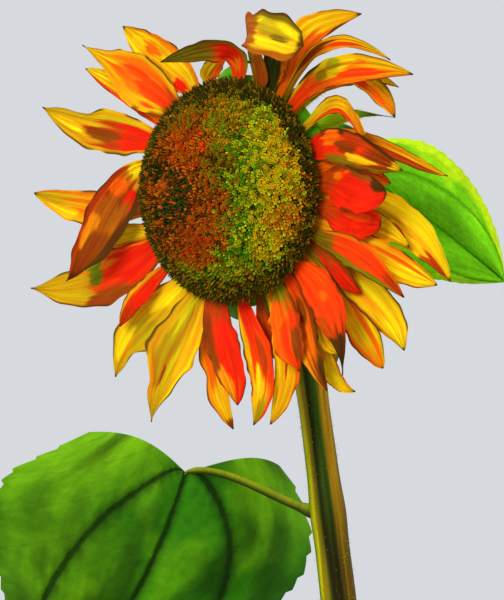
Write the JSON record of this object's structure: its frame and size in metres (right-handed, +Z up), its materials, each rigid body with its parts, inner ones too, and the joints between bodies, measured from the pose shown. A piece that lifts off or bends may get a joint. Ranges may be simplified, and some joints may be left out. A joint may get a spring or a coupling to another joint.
{
  "type": "sunflower plant",
  "caption": "Rooted sunflower plant: one large flower head on a leaning stem with a hooked neck, yellow to red rays round a brown seed disk, and heart-shaped leaves all the way down.",
  "frame": {"origin": "middle of the flat cut under the stem, at ground level", "axes": "+Z up the plant; the flower head looks along -Y, turned 38 degrees towards -X; the stem leans towards -X"},
  "size_m": [0.5746, 0.6064, 1.3927],
  "materials": {
    "stem_green": "ridged, bristly green stem, ochre on one side",
    "leaf_green": "matt leaf with dark sunken veins",
    "bract_green": "matt, hairy green bracts",
    "disk_brown": "close-set florets, green, rust and olive, dark brown at the rim",
    "ray_gold": "soft satin petal, golden yellow with fine lengthwise ridges",
    "ray_orange": "soft satin petal, orange with a yellow tip",
    "ray_red": "soft satin petal, red-orange with darker edges"
  },
  "bodies": {
    "root": {"stem": "stem_green", "receptacle": "bract_green", "seed_disk": "disk_brown", "ray_floret_01": "ray_orange", "ray_floret_02": "ray_gold", "ray_floret_03": "ray_orange", "ray_floret_04": "ray_gold", "ray_floret_05": "ray_gold", "ray_floret_06": "ray_gold", "ray_floret_07": "ray_orange", "ray_floret_08": "ray_red", "ray_floret_09": "ray_gold", "ray_floret_10": "ray_gold", "ray_floret_11": "ray_gold", "ray_floret_12": "ray_gold", "ray_floret_13": "ray_gold", "ray_floret_14": "ray_gold", "ray_floret_15": "ray_gold", "ray_floret_16": "ray_gold", "ray_floret_17": "ray_orange", "ray_floret_18": "ray_gold", "ray_floret_19": "ray_gold", "ray_floret_20": "ray_gold", "ray_floret_21": "ray_gold", "ray_floret_22": "ray_gold", "ray_floret_23": "ray_gold", "ray_floret_24": "ray_gold", "ray_floret_25": "ray_orange", "ray_floret_26": "ray_orange", "ray_floret_27": "ray_orange", "ray_floret_28": "ray_gold", "ray_floret_29": "ray_red", "ray_floret_30": "ray_red", "ray_floret_31": "ray_red", "ray_floret_32": "ray_red", "ray_floret_33": "ray_red", "ray_floret_34": "ray_red", "ray_floret_35": "ray_orange", "ray_floret_36": "ray_gold", "ray_floret_37": "ray_red", "ray_floret_38": "ray_orange", "ray_floret_39": "ray_red", "ray_floret_40": "ray_red", "ray_floret_41": "ray_red", "ray_floret_42": "ray_red", "ray_floret_43": "ray_red", "leaf_01": "leaf_green", "leaf_02": "leaf_green", "leaf_03": "leaf_green", "leaf_04": "leaf_green", "leaf_05": "leaf_green", "leaf_06": "leaf_green", "leaf_07": "leaf_green", "leaf_08": "leaf_green", "leaf_09": "leaf_green", "leaf_10": "leaf_green", "leaf_11": "leaf_green", "leaf_12": "leaf_green"}
  },
  "joints": []
}
